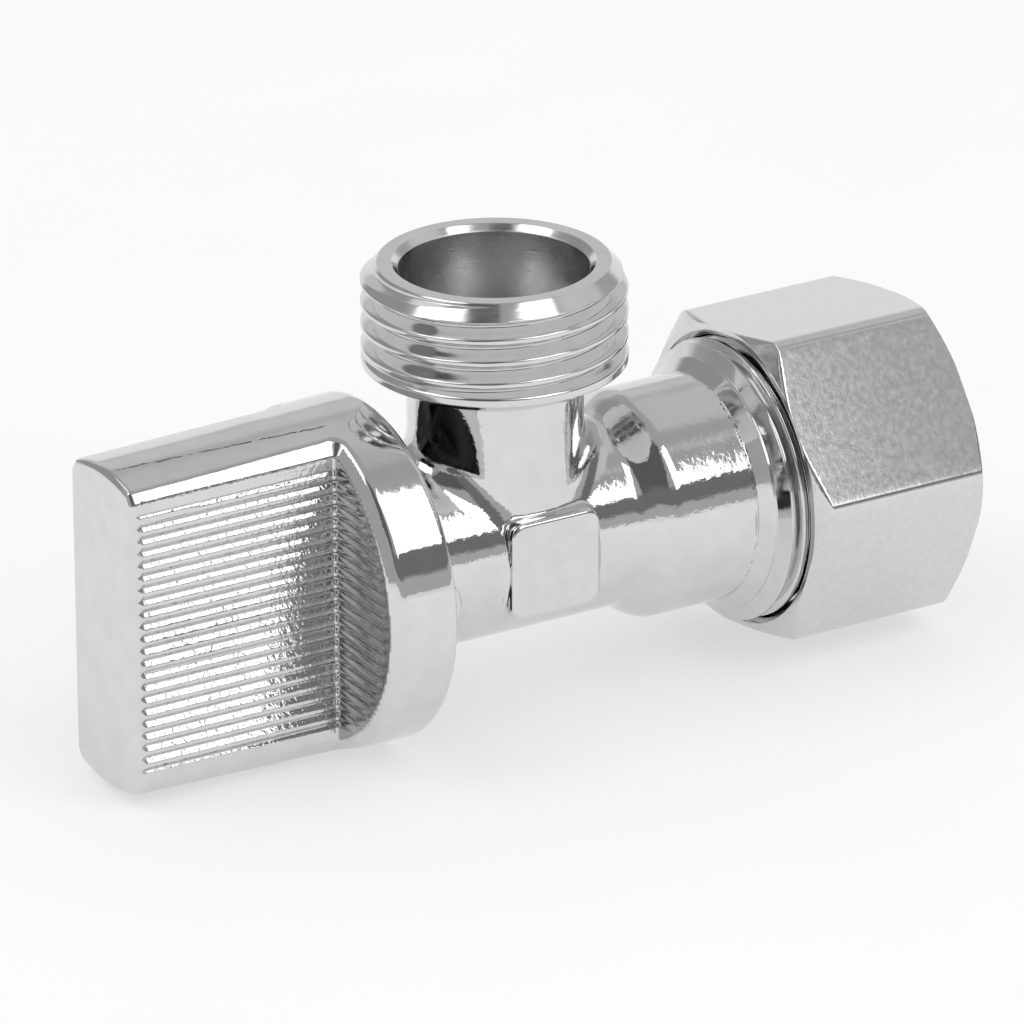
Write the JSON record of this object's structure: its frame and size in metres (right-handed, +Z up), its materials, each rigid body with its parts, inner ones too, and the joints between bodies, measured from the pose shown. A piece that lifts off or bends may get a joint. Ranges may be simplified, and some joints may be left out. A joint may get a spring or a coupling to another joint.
{
  "type": "angle valve",
  "caption": "Chrome quarter-turn angle valve with ribbed metal handle, threaded outlet at right angles and compression nut on the inlet.",
  "frame": {"origin": "on the inlet axis at the stop where the tube ends inside the valve body", "axes": "+X along the inlet axis, out of the compression nut; +Z up, out of the outlet; the handle is at -X"},
  "size_m": [0.073, 0.0278, 0.037],
  "materials": {
    "body_chrome": "bright chrome plate on cast brass",
    "nut_chrome": "chrome plate over a lightly pitted hexagon",
    "handle_chrome": "bright chrome plate on cast zinc",
    "brass": "turned",
    "ceramic": "lapped",
    "rubber": "matt black",
    "plastic": "white",
    "gasket": "red-brown fibre",
    "steel": "bright"
  },
  "bodies": {
    "valve": {"valve_body": "body_chrome", "cartridge_housing": "brass", "housing_gasket": "gasket", "fixed_disc": "ceramic", "base_seal": "rubber", "seal_support_ring": "plastic"},
    "handle_and_spindle": {"handle": "handle_chrome", "handle_screw": "steel", "spindle": "brass", "spindle_oring_outer": "rubber", "spindle_oring_inner": "rubber", "spindle_clip": "steel", "slip_washer": "plastic", "rotating_disc": "ceramic"},
    "ferrule": {"compression_ferrule": "brass"},
    "nut": {"compression_nut": "nut_chrome"}
  },
  "joints": [
    {"name": "handle_turn", "type": "hinge", "parent": "valve", "child": "handle_and_spindle", "pos_m": [-0.03, 0, 0], "axis": [1, 0, 0], "range_deg": [0, 90]},
    {"name": "ferrule_slide", "type": "slide", "parent": "valve", "child": "ferrule", "axis": [1, 0, 0], "range_m": [0, 0.0091]},
    {"name": "nut_turn", "type": "hinge", "parent": "ferrule", "child": "nut", "pos_m": [0.01, 0, 0], "axis": [1, 0, 0], "range_deg": [0, 2160]}
  ],
  "couplings": [
    {"joint": "ferrule_slide", "follows": "nut_turn", "m_per_rad": 0.00023873}
  ]
}
